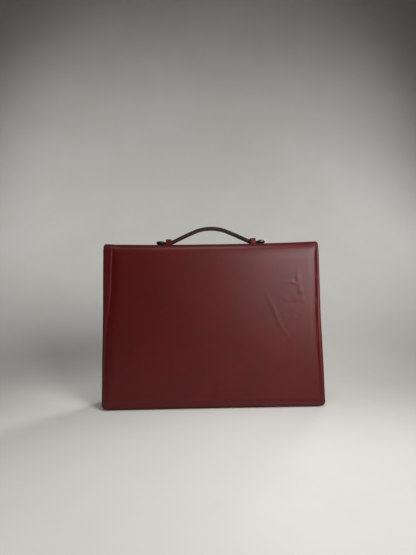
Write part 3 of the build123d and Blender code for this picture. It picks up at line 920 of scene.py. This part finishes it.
# ------------------------------------------------------------- front panel
@dataclass
class FrontPanel:
    """The panel under the flap, whose leather turns under the case."""

    half_width: float = float(node_box("front_binding")[1, 0])
    top_z: float = float(node_box("front_binding")[1, 2])
    face_depth: float = 5.65     # flap's outer face to the panel's
    thickness: float = 1.3
    hem_radius: float = 2.5
    gap: float = 0.05            # kept from the pieces behind the leather
    binding_half_wide: float = 2.3
    binding_half_thick: float = 2.45

    def line(self) -> SideLine:
        """Down the panel's face, round the hem and back along the bottom."""
        radius = self.hem_radius
        wall_y, wall_z = slope_line(-1, 3.0, self.face_depth)
        top_y = np.interp(self.top_z, wall_z, wall_y)
        turn = np.linspace(np.pi - LEAN, 1.5 * np.pi, 24)
        hem_y, hem_z = joint_place("front_spread")[1] + self.gap, radius + self.gap
        back_y = float(node_box("bottom_cover")[1, 1])
        y = np.concatenate([[top_y], hem_y + radius * np.cos(turn), [back_y]])
        z = np.concatenate([[self.top_z], hem_z + radius * np.sin(turn), [self.gap]])
        return SideLine(y, z, np.concatenate([[turn[0]], turn, [turn[-1]]]))

    def build(self) -> None:
        """Make the leather and its edge binding."""
        line = self.line()
        sheet = BentSheet(line, self.half_width, self.thickness, corner=1.5)
        roll = self.thickness / 2
        edge = rolled(roll, 5)
        side = np.concatenate([edge[:-1], spaced([(roll, 1.0), (6, 6.0), (self.half_width, 0)])])
        hem_start = self.top_z - 12
        rows = np.concatenate([
            edge[:-1],
            spaced([(roll, 1.0), (6, 6.0), (hem_start, 0.6), (hem_start + 22, 6.0),
                    (line.length - roll, 0)])[:-1],
            (line.length - edge)[::-1],
        ])
        piece = sheet.build("front_and_bottom_leather", side, rows)
        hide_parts("front_cover", "front_hem", "bottom_cover")
        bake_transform(piece)
        self.build_binding()

    def build_binding(self) -> None:
        """A rolled strip over the panel's two sides and its top edge."""
        wide = self.binding_half_wide
        x, z = arch(self.half_width - wide, 4.5, self.top_z - wide, corner=5.0)
        path = on_wall(-1, self.face_depth + 2.1, x, z)
        piece = strip("front_edge_binding", path, FRONT_FACE, wide, self.binding_half_thick,
                      squareness=3.0)
        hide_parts("front_binding")
        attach(piece, "front")


def strip(name: str, path: np.ndarray, face: tuple[float, float, float], half_wide: float,
          half_thick: float, squareness: float, spacing: float = 3.0,
          around: int = 24) -> bpy.types.Object:
    """Carry a rounded strip section of box calf along a path.

    The section is |a / w|^n + |b / t|^n = 1, with a across the strip and b
    along its face direction.

    Args:
        name: The piece's name.
        path: N by 3 places.
        face: The direction that the strip's face looks in.
        half_wide: Half the width across the face.
        half_thick: Half the thickness.
        squareness: The power n: 2 is an ellipse and more is squarer.
        spacing: The longest step between sections.
        around: Points in the section.

    Returns:
        The new object.
    """
    run = run_along(path)
    parts = [
        np.linspace(a, b, max(1, int(np.ceil((b - a) / spacing))) + 1)[:-1]
        for a, b in zip(run, run[1:])
    ]
    places = at_distance(path, run, np.concatenate([*parts, run[-1:]]))
    tangent = unit(np.gradient(places, axis=0))
    out = np.broadcast_to(np.array(face, float), places.shape)
    out = unit(out - (out * tangent).sum(1)[:, None] * tangent)
    across = np.cross(tangent, out)
    angle = ring_angles(around)
    a, b = squared_circle(angle, squareness)
    points = (
        places[:, None]
        + half_wide * a[None, :, None] * across[:, None]
        + half_thick * b[None, :, None] * out[:, None]
    )
    rows = len(places)
    s = np.linspace(0, run[-1], rows)
    unrolled = angle * (half_wide + half_thick) / 2
    flat = np.stack(np.broadcast_arrays(unrolled[None], s[:, None]), axis=-1).reshape(-1, 2)
    return write_mesh(name, BOX_CALF, points.reshape(-1, 3), tube_faces(rows, around), flat,
                      np.zeros(rows * around))


# ------------------------------------------------------------------- inside
@dataclass
class Gussets:
    """The soft side walls, each drawn in to the divider's edge."""

    pinch_x: float = -float(node_box("left_rear_gusset")[1, 0])
    bulge: float = 5.5
    thickness: float = 1.4
    foot_z: float = 4.0
    top_z: float = float(node_box("left_rear_gusset")[1, 2])
    divider_y: float = -1.0
    front_depth: float = 9.9     # flap's outer face to the front line of sewing
    dip: float = 6.0             # of the upper edge in each swell
    fall: float = 8.0            # of the upper edge from the back to the front
    columns: int = 49
    rows: int = 70

    def build(self) -> None:
        """Make one wall for each side.

        Across from the back (t = 0) to the front (t = 1) the wall swells out
        as |sin(2 pi t)|^0.8 between its three lines of sewing, less so near
        the bottom, and its upper edge dips in the middle of each swell.  The
        height h runs from 0 to 1, and a slow ripple grows with it.
        """
        t, h = np.meshgrid(np.linspace(0, 1, self.columns), np.linspace(0, 1, self.rows))
        swell = np.abs(np.sin(2 * np.pi * t)) ** 0.8
        z = self.foot_z + (self.top_z - self.foot_z) * h - self.dip * swell * h ** 6 - self.fall * t * h
        back_y, back_z = slope_line(1, self.foot_z, PANEL - 0.1)
        front_y, front_z = slope_line(-1, self.foot_z, self.front_depth)
        rear, front = np.interp(z, back_z, back_y), np.interp(z, front_z, front_y)
        middle = self.divider_y
        y = np.where(t < 0.5, rear + (middle - rear) * 2 * t, middle + (front - middle) * (2 * t - 1))
        ripple = 0.5 * np.sin(h * 21 + 5 * t) * swell
        out = self.pinch_x + 1.0 + self.bulge * (0.35 + 0.65 * h) * swell + ripple * h
        for sign, name in ((-1, "left"), (1, "right")):
            outer = np.stack([sign * out, y, z], axis=-1)
            inner = outer - np.array([sign * self.thickness, 0, 0])
            piece = plate_mesh(f"{name}_gusset", outer, inner, turn=sign < 0)
            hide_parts(f"{name}_rear_gusset", f"{name}_front_gusset")
            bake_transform(piece)


def plate_mesh(name: str, outer: np.ndarray, inner: np.ndarray, turn: bool) -> bpy.types.Object:
    """Close two facing grids into one leather wall with square borders.

    Args:
        name: The piece's name.
        outer: Rows by columns by 3 places.
        inner: The same grid on the far side.
        turn: Whether to turn every face round.

    Returns:
        The new object.
    """
    rows, columns = outer.shape[:2]
    first = np.arange(rows * columns).reshape(rows, columns)
    second = first + rows * columns
    border = np.concatenate([first[0], first[1:, -1], first[-1, -2::-1], first[-2:0:-1, 0]])
    faces = np.concatenate([
        grid_faces(first, False), grid_faces(second, False)[:, ::-1],
        grid_faces(np.stack([border + rows * columns, border]), True),
    ])
    if turn:
        faces = faces[:, ::-1]
    run = np.linalg.norm(np.diff(outer, axis=1, prepend=outer[:, :1]), axis=-1).cumsum(axis=1)
    flat = np.stack([run, outer[..., 2]], axis=-1).reshape(-1, 2)
    points = np.concatenate([outer.reshape(-1, 3), inner.reshape(-1, 3)])
    return write_mesh(name, BOX_CALF_INNER, points, faces, np.concatenate([flat, flat]))


STITCH_TURN = 0.12   # tangent of a stitch's turn to its row


def stitches(name: str, path: np.ndarray, face: tuple[float, float, float], pitch: float = 4.0,
             length: float = 3.0, radius: float = 0.32, rings: int = 5,
             ring: int = 6) -> bpy.types.Object:
    """A row of stitches along a path, each a small rounded bead of thread.

    A bead's radius at a share t of its length is r sqrt(1 - (2t - 1)^4), and
    each lies turned by a few degrees to the row.

    Args:
        name: The piece's name.
        path: N by 3 places.
        face: The direction that the sewn face looks in.
        pitch: From one stitch to the next.
        length: One stitch's length.
        radius: The thread's radius.
        rings: Rings in one bead.
        ring: Points in a ring.

    Returns:
        The new object.
    """
    run = run_along(path)
    middles = np.arange(pitch, run[-1] - pitch / 2, pitch)
    place = at_distance(path, run, middles)
    along = unit(at_distance(path, run, middles + 0.5) - place)
    out = np.broadcast_to(np.array(face, float), along.shape)
    along = unit(along + STITCH_TURN * np.cross(along, out))
    across = np.cross(along, out)
    t = np.linspace(0.02, 0.98, rings)
    thick = radius * np.sqrt(1 - (2 * t - 1) ** 4)
    angle = np.arange(ring) * 2 * np.pi / ring
    shape = (
        place[:, None, None]
        + along[:, None, None] * ((t - 0.5) * length)[None, :, None, None]
        + across[:, None, None] * (thick[:, None] * np.cos(angle))[None, :, :, None]
        + out[:, None, None] * (thick[:, None] * np.sin(angle))[None, :, :, None]
    )
    first_point = np.arange(len(middles)) * rings * ring
    faces = (tube_faces(rings, ring)[None] + first_point[:, None, None]).reshape(-1, 4)
    return write_mesh(name, THREAD, shape.reshape(-1, 3), faces)


@dataclass
class Inside:
    """Bindings and sewing on the linings, the front panel, the divider and the pocket."""

    lining_inset: float = 4.0      # a lining's border to its stitches
    lining_top: float = 2.0        # the fold to the first stitch
    panel_inset: float = 6.5       # the front panel's border to its stitches
    panel_foot: float = 8.0
    panel_depth: float = 5.6       # flap's outer face to the sewn face
    divider_half_thick: float = 1.9
    divider_half_wide: float = 3.0
    pocket_depth: float = PANEL + 11.6
    pocket_half_thick: float = 1.2
    pocket_half_wide: float = 3.5

    def build(self) -> None:
        """Sew each lining and bind each open edge."""
        self.sew_lining("flap_lining", "flap", -1)
        self.sew_lining("back_lining", "case", 1)
        self.sew_front_panel()
        self.bind_divider()
        self.bind_pocket()

    def sew_lining(self, node: str, body: str, sign: int) -> None:
        """A row of stitches round the sides and the foot of a lining.

        Args:
            node: The lining's CAD node.
            body: The body that it moves with.
            sign: +1 for the back, -1 for the flap.
        """
        low, high = node_box(node)
        side, foot, top = high[0] - self.lining_inset, low[2] + self.lining_inset, high[2] - self.lining_top
        path = on_wall(sign, PANEL, np.array([-side, -side, side, side]), np.array([top, foot, foot, top]))
        piece = stitches(f"{node}_stitches", path, (0, -sign * np.cos(LEAN), -np.sin(LEAN)))
        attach(piece, body)

    def sew_front_panel(self) -> None:
        """A row of stitches beside the front panel's binding."""
        _, high = node_box("front_binding")
        side, foot, top = high[0] - self.panel_inset, self.panel_foot, high[2] - self.panel_inset
        path = on_wall(-1, self.panel_depth, np.array([-side, -side, side, side]),
                       np.array([foot, top, top, foot]))
        piece = stitches("front_panel_stitches", path, FRONT_FACE)
        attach(piece, "front")

    def bind_divider(self) -> None:
        """A folded leather strip over the divider's upper edge."""
        low, high = node_box("divider_board")
        y = (low[1] + high[1]) / 2
        z = high[2] - self.divider_half_wide + 0.8
        path = np.array([[low[0] + 0.5, y, z], [high[0] - 0.5, y, z]])
        piece = strip("divider_top_binding", path, (0, -1, 0), self.divider_half_wide,
                      self.divider_half_thick, squareness=4, spacing=8)
        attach(piece, "case")

    def bind_pocket(self) -> None:
        """A folded leather strip over the pocket's mouth."""
        low, high = node_box("document_pocket")
        path = on_wall(1, self.pocket_depth, np.array([low[0] - 0.3, high[0] + 0.3]),
                       np.full(2, high[2] - 3.2))
        piece = strip("pocket_mouth_binding", path, (0, -np.cos(LEAN), -np.sin(LEAN)),
                      self.pocket_half_wide, self.pocket_half_thick, squareness=4, spacing=8)
        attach(piece, "case")


# ------------------------------------------------------------------- handle
@dataclass
class Handle:
    """The strap, its loops and its stoppers."""

    half_wide: float = 10.0
    half_thick: float = 3.05
    end_half_thick: float = 2.2    # beyond the knee, where the strap slides
    squareness: float = 4.2
    around: int = 40
    step: float = 0.9
    knee_bend: float = 7.0         # half the length over which the knee bends
    shoulder_ease: float = 10.0    # half the length over which the arc ends
    tip: float = 3.0               # how far in the strap narrows at its end
    loop_half_thick: float = 0.95
    loop_corner: float = 3.2
    loop_root: float = 1.0         # how deep a loop's feet go into the spine
    stopper_squareness: float = 4.0

    def __post_init__(self) -> None:
        """Read the knees and shoulders from the frame's joints."""
        self.knee = joint_place("right_knee")
        self.shoulder = joint_place("right_shoulder")
        rise, run = self.shoulder[2] - self.knee[2], self.knee[0] - self.shoulder[0]
        self.slope = float(np.arctan2(rise, run))
        self.ramp_length = float(np.hypot(rise, run))
        self.tip_x = float(node_box("right_strap_end")[1, 0])

    def centre_line(self) -> tuple[np.ndarray, np.ndarray, np.ndarray, np.ndarray]:
        """The right half of the strap's middle line, from the crown out.

        Its slope grows evenly from level to the ramp's angle over the crown's
        arc, holds, then smoothly comes level again round the knee.  Where the
        arc ends the slope eases in by a parabola.  Summing the slope gives the
        line, which meets the knee and the shoulder.

        Returns:
            Distance along, x, z and the downward slope angle.
        """
        radius = self.shoulder[0] / np.sin(self.slope)
        arc = radius * self.slope
        knee_at = arc + self.ramp_length
        total = knee_at + self.tip_x - self.knee[0]
        s = np.linspace(0, total, int(total / 0.25))
        level = 1 - ramp(s, knee_at - self.knee_bend, knee_at + self.knee_bend)
        past, ease = s - arc, self.shoulder_ease
        eased = 1 - (past ** 2 + ease ** 2) / (4 * ease * arc)
        angle = self.slope * np.where(np.abs(past) < ease, eased, np.minimum(s / arc, 1) * level)
        middle = (angle[1:] + angle[:-1]) / 2
        x = np.concatenate([[0.0], np.cumsum(np.diff(s) * np.cos(middle))])
        z = np.concatenate([[0.0], np.cumsum(-np.diff(s) * np.sin(middle))])
        return s, x, z + self.knee[2] - z[-1], angle

    def strap_piece(self, name: str, sign: int, start: float, end: float) -> bpy.types.Object:
        """One length of the strap.

        The section |a / w|^n + |b / t|^n = 1 rides on the middle line, with a
        across the strap and b square to it.  Its faces crown by a tenth, as
        1 - 0.1 |a|^3.  Beyond the knee t shrinks, where the strap thins to
        slide in its loop.  The bare core shows low on the two cut edges.

        Args:
            name: The piece's name.
            sign: +1 for the right half, -1 for the left.
            start: Where the length starts, as a distance from the crown.
            end: Where it ends.

        Returns:
            The new object.
        """
        s, x, z, angle = self.centre_line()
        steps = np.linspace(start, end, int((end - start) / self.step) + 1)
        px, pz, pa = (np.interp(steps, s, values) for values in (x, z, angle))
        wide = self.half_wide - self.tip * ramp(steps, s[-1] - self.tip, s[-1])
        thins = [self.knee[0] - 4, self.knee[0] + 8]
        thick = np.interp(px, thins, [self.half_thick, self.end_half_thick])
        a, b = squared_circle(ring_angles(self.around), self.squareness)
        across = wide[:, None] * a
        up = thick[:, None] * b * (1 - 0.10 * np.abs(a) ** 3)
        points = np.stack([
            sign * (px[:, None] + up * np.sin(pa)[:, None]),
            across,
            pz[:, None] + up * np.cos(pa)[:, None],
        ], axis=-1)
        faces = tube_faces(len(steps), self.around, turn=sign > 0)
        flat = np.stack(np.broadcast_arrays(across, steps[:, None]), axis=-1).reshape(-1, 2)
        bare = ramp(-b, 0.2, 0.45) * (1 - ramp(-b, 0.86, 0.99)) * (np.abs(a) > 0.8)
        edge = np.broadcast_to(bare[None], across.shape).ravel()
        piece = write_mesh(name, BRIDLE, points.reshape(-1, 3), faces, flat, edge)
        return piece

    def build(self) -> None:
        """Make the strap's four lengths, two loops and two stoppers."""
        s, x, z, _ = self.centre_line()
        split = float(np.interp((self.knee[0] + self.shoulder[0]) / 2, x, s))
        for sign, side in ((-1, "left"), (1, "right")):
            inner = self.strap_piece(f"{side}_strap", sign, 0.0, split)
            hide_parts(f"{side}_ramp_upper", f"{side}_ramp_core", f"{side}_ramp_lower",
                        *(("crown_upper",) if sign < 0 else ("crown_core", "crown_lower")))
            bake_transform(inner)
            outer = self.strap_piece(f"{side}_sliding_strap", sign, split, float(s[-1]))
            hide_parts(f"{side}_strap_end")
            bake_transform(outer)
            self.build_loop(side)
            self.build_stopper(sign, side)

    def build_loop(self, side: str) -> None:
        """A leather band over the strap, with its feet in the spine."""
        low, high = node_box(f"{side}_handle_loop")
        thick = self.loop_half_thick
        reach = (high[1] - low[1]) / 2 - thick
        y, z = arch(reach, low[2] - self.loop_root, high[2] - thick, self.loop_corner)
        path = np.stack([np.full_like(y, (low[0] + high[0]) / 2), y, z], axis=1)
        piece = loop_band(f"{side}_loop", path, (high[0] - low[0]) / 2, thick)
        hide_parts(f"{side}_handle_loop")
        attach(piece, "case")

    def build_stopper(self, sign: int, side: str) -> None:
        """A rounded block of lacquered leather on the strap's end.

        It is |x / a|^n + |y / b|^n + |z / c|^n = 1 in the CAD stopper's box,
        tapered a little towards its outer end in width and in height.
        """
        low, high = node_box(f"{side}_stopper")
        centre, half = (low + high) / 2, (high - low) / 2
        rings, around = 25, 48
        turn = np.arange(around) * 2 * np.pi / around
        ring, z = squared_circle(np.linspace(-np.pi / 2, np.pi / 2, rings), self.stopper_squareness)
        a, b = squared_circle(turn, self.stopper_squareness)
        x, y, z = np.broadcast_arrays(ring[:, None] * a, ring[:, None] * b, z[:, None])
        outwards = x * sign
        narrow = 1 - 0.10 * ramp(outwards, -0.2, 1.0)
        flatten = 1 - 0.16 * ramp(outwards, 0.1, 1.0)
        points = centre + half * np.stack([x, y * narrow, z * flatten], axis=-1)
        piece = write_mesh(f"{side}_end_stop", LACQUERED, points.reshape(-1, 3), tube_faces(rings, around))
        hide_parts(f"{side}_stopper")
        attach(piece, f"{side}_end")


def loop_band(name: str, path: np.ndarray, half_wide: float, half_thick: float,
              around: int = 24) -> bpy.types.Object:
    """Carry a flat leather band's section round a loop in the side view.

    Args:
        name: The piece's name.
        path: N by 3 places in a plane of constant x.
        half_wide: Half the band's width, along x.
        half_thick: Half its thickness.
        around: Points in the section.

    Returns:
        The new object.
    """
    tangent = unit(np.gradient(path, axis=0))
    out = np.stack([np.zeros(len(path)), -tangent[:, 2], tangent[:, 1]], axis=1)
    a, b = squared_circle(ring_angles(around), squareness=5.0)
    a, b = half_wide * a, half_thick * b
    across = np.array([1.0, 0, 0])
    points = path[:, None] + a[None, :, None] * across + b[None, :, None] * out[:, None]
    flat = np.stack(np.broadcast_arrays(a[None], run_along(path)[:, None]), axis=-1).reshape(-1, 2)
    faces = tube_faces(len(path), around, turn=True)
    return write_mesh(name, BOX_CALF_INNER, points.reshape(-1, 3), faces, flat)


# -------------------------------------------------------------------- stage
@dataclass(frozen=True)
class Lamp:
    """A rectangular soft light, hung at a place and turned to a target."""

    name: str
    place: tuple[float, float, float]
    target: tuple[float, float, float]
    size: tuple[float, float]
    watts: float
    spread: float
    colour: tuple[float, float, float] = (1.0, 1.0, 1.0)

    def hang(self) -> None:
        """Put the lamp into the scene, unseen by the camera."""
        data = bpy.data.lights.new(self.name, "AREA")
        data.shape = "RECTANGLE"
        data.size, data.size_y = self.size[0] * MM, self.size[1] * MM
        data.energy = self.watts
        data.spread = np.radians(self.spread)
        data.color = self.colour
        light = bpy.data.objects.new(self.name, data)
        away = unit(np.array(self.place, float) - np.array(self.target, float))
        side = unit(np.cross((0, 0, 1), away))
        light.matrix_world = placed(side, np.cross(away, side), away, self.place)
        light.visible_camera = False
        bpy.context.scene.collection.objects.link(light)


# A window at the front right gives the flap its gloss and a lamp overhead
# lights the ground.  Two lamps wash the wall from the sides, and a weak one
# fills the back of the case.
LAMPS = (
    Lamp("window", (530, -800, 580), (60, 300, 240), (440, 540), 2.4, 86, (1.0, 0.99, 0.97)),
    Lamp("overhead", (-20, -620, 1500), (-40, -600, 0), (800, 500), 2.2, 62),
    Lamp("behind_left", (-1150, 330, 900), (-150, 1000, 600), (700, 700), 2.1, 120),
    Lamp("behind_right", (1150, 330, 800), (100, 1000, 640), (700, 700), 2.7, 120),
    Lamp("back_fill", (400, 780, 540), (-110, 40, 170), (500, 260), 0.36, 36),
)


def placed(right: np.ndarray, up: np.ndarray, back: np.ndarray, place: tuple[float, float, float]) -> Matrix:
    """The world matrix of an object with these three axes at a place in mm."""
    world = np.eye(4)
    world[:3, :3] = np.stack([right, up, back], axis=1)
    world[:3, 3] = np.array(place) * MM
    return Matrix(world.tolist())


@dataclass
class Studio:
    """The ground, the wall, the lights and the camera."""

    camera_place: tuple[float, float, float] = (-15.3, -768.0, 207.5)
    pitch: float = 2.19      # degrees upwards
    yaw: float = 0.668       # degrees to the right
    roll: float = -0.911
    lens: float = 26.0
    sensor: float = 36.0     # the sensor's height
    bend_from: float = 50.0
    bend: float = 1150.0
    wall_top: float = 4200.0
    half_span: float = 4500.0
    room_light: float = 0.05

    def build(self) -> None:
        """Set up the whole stage."""
        self.build_sweep()
        for lamp in LAMPS:
            lamp.hang()
        self.build_room()
        self.build_camera()
        log.info("stage: a sweep, %d lamps and a camera", len(LAMPS))

    def build_sweep(self) -> None:
        """A level ground that curves up from behind the case into a wall."""
        turn = np.linspace(0, np.pi / 2, 40)
        wall_y = self.bend_from + self.bend
        y = np.concatenate([
            [-self.half_span, -1500], self.bend_from + self.bend * np.sin(turn), [wall_y, wall_y],
        ])
        z = np.concatenate([[0, 0], self.bend - self.bend * np.cos(turn), [self.bend + 900, self.wall_top]])
        x = np.linspace(-self.half_span, self.half_span, 7)
        grid = np.stack(np.broadcast_arrays(x[None], y[:, None], z[:, None]), axis=-1)
        index = np.arange(grid.size // 3).reshape(grid.shape[:2])
        floor = write_mesh("ground_and_wall", EMULSION, grid.reshape(-1, 3), grid_faces(index, False))

    def build_room(self) -> None:
        """A dim grey room all round, and plain view settings."""
        world = bpy.data.worlds.new("dim_room")
        world.use_nodes = True
        backdrop = world.node_tree.nodes["Background"]
        backdrop.inputs["Color"].default_value = linear("C4C6C6")
        backdrop.inputs["Strength"].default_value = self.room_light
        bpy.context.scene.world = world
        bpy.context.scene.view_settings.view_transform = "Standard"
        bpy.context.scene.view_settings.look = "None"

    def build_camera(self) -> None:
        """A wide camera at hand height, nearly level, in front of the flap."""
        pitch, yaw, roll = np.radians([self.pitch, self.yaw, self.roll])
        ahead = np.array([np.sin(yaw) * np.cos(pitch), np.cos(yaw) * np.cos(pitch), np.sin(pitch)])
        level = np.array([np.cos(yaw), -np.sin(yaw), 0.0])
        right = np.cos(roll) * level + np.sin(roll) * np.cross(level, ahead)
        data = bpy.data.cameras.new("camera")
        data.lens = self.lens
        data.sensor_fit = "VERTICAL"
        data.sensor_height = self.sensor
        data.clip_start = 0.02
        camera = bpy.data.objects.new("camera", data)
        camera.matrix_world = placed(right, np.cross(right, ahead), -ahead, self.camera_place)
        bpy.context.scene.collection.objects.link(camera)
        bpy.context.scene.camera = camera


def main() -> None:
    """Build the stage and every piece."""
    Studio().build()
    dress_cad_nodes()
    OuterLeather().build()
    FrontPanel().build()
    Gussets().build()
    Inside().build()
    Handle().build()


if __name__ == "__main__":
    main()
